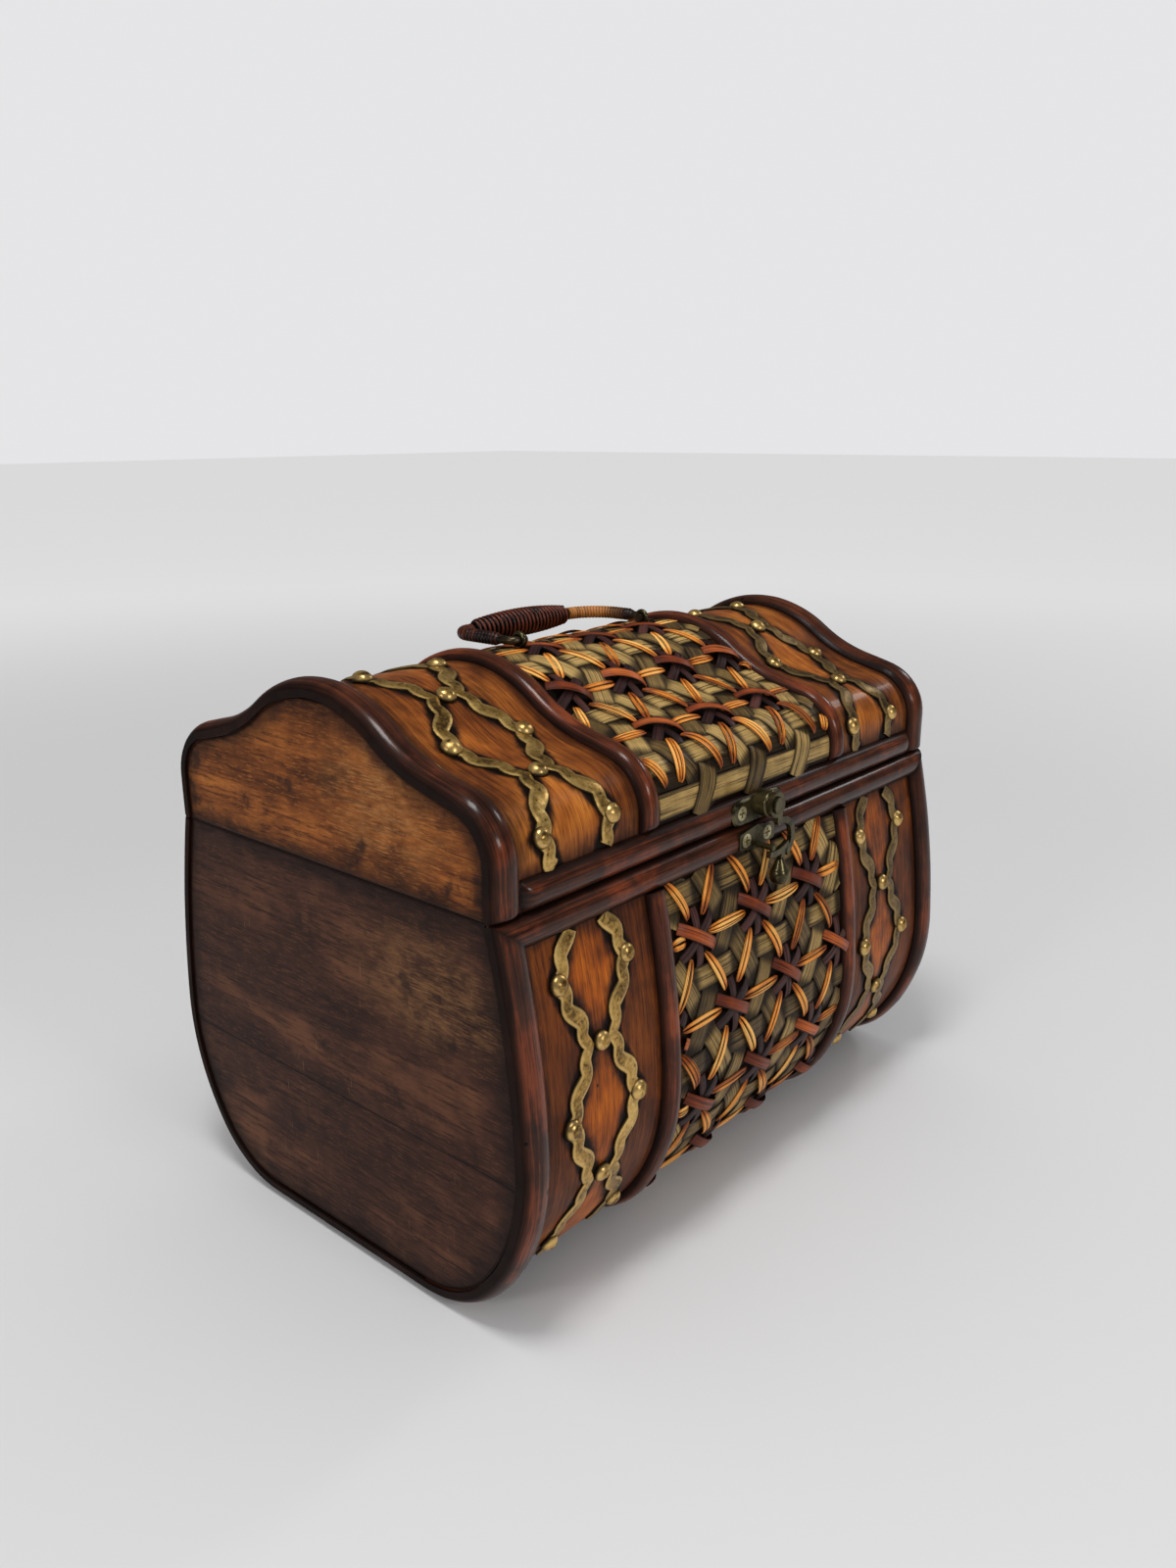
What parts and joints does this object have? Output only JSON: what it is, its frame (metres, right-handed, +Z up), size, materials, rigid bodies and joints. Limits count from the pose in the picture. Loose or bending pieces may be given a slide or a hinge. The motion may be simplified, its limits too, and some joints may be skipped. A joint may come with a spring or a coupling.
{
  "type": "treasure chest",
  "caption": "Small camel-backed storage chest: hinged lid, swing-hook latch, carrying handle, woven middle band between bent wooden sides with half-round edging.",
  "frame": {"origin": "centre of the chest's plan, on the surface that its lowest beads stand on", "axes": "+X along the chest's length, -Y out of the front with the latch, +Z up"},
  "size_m": [0.3, 0.2142, 0.2403],
  "materials": {
    "bay_wood": "satin",
    "board_wood": "satin",
    "beading": "gloss",
    "woven_cane": "matte",
    "hammered_brass": "hammered",
    "aged_brass": "aged",
    "screw_brass": "satin",
    "steel_wire": "satin",
    "grip_cord": "satin",
    "wrap_leather": "satin",
    "cane_wrap": "satin"
  },
  "bodies": {
    "chest": {"body_front_panel": "bay_wood", "body_back_panel": "bay_wood", "body_bottom_board": "board_wood", "body_end_left_upper": "board_wood", "body_end_left_lower": "board_wood", "body_end_right_upper": "board_wood", "body_end_right_lower": "board_wood", "body_weave_front": "woven_cane", "body_weave_back": "woven_cane", "body_edge_bead_left": "beading", "body_edge_bead_right": "beading", "body_rib_left": "beading", "body_rib_right": "beading", "body_rail_front": "beading", "body_rail_back": "beading", "body_straps_front_left": "hammered_brass", "body_straps_front_right": "hammered_brass", "body_straps_back_left": "hammered_brass", "body_straps_back_right": "hammered_brass", "body_studs_front": "hammered_brass", "body_studs_back": "hammered_brass", "catch_plate": "aged_brass", "catch_pin": "aged_brass", "catch_screws": "screw_brass", "hinge_body_leaves": "aged_brass", "hinge_pins": "steel_wire", "hinge_body_screws": "screw_brass"},
    "lid": {"lid_shell": "bay_wood", "lid_end_left": "board_wood", "lid_end_right": "board_wood", "lid_weave": "woven_cane", "lid_edge_bead_left": "beading", "lid_edge_bead_right": "beading", "lid_rib_left": "beading", "lid_rib_right": "beading", "lid_rail_front": "beading", "lid_rail_back": "beading", "lid_straps_left": "hammered_brass", "lid_straps_right": "hammered_brass", "lid_studs": "hammered_brass", "latch_plate": "aged_brass", "latch_post": "aged_brass", "latch_screws": "screw_brass", "hinge_lid_leaves": "aged_brass", "hinge_lid_screws": "screw_brass", "handle_eyes": "aged_brass"},
    "hook": {"latch_hook": "aged_brass"},
    "handle": {"handle_bail": "steel_wire", "grip_padding": "wrap_leather", "grip_cord": "grip_cord", "handle_near_wrap": "wrap_leather", "handle_far_wrap": "cane_wrap"}
  },
  "joints": [
    {"name": "lid_hinge", "type": "hinge", "parent": "chest", "child": "lid", "pos_m": [0, 0.0967, 0.16385], "axis": [-1, 0, 0], "range_deg": [0, 110]},
    {"name": "hook_swing", "type": "hinge", "parent": "lid", "child": "hook", "pos_m": [0, -0.1031, 0.17225], "axis": [0, -1, 0], "range_deg": [0, 130]},
    {"name": "handle_swing", "type": "hinge", "parent": "lid", "child": "handle", "pos_m": [0, 0, 0.2338], "axis": [1, 0, 0], "range_deg": [0, 180]}
  ]
}
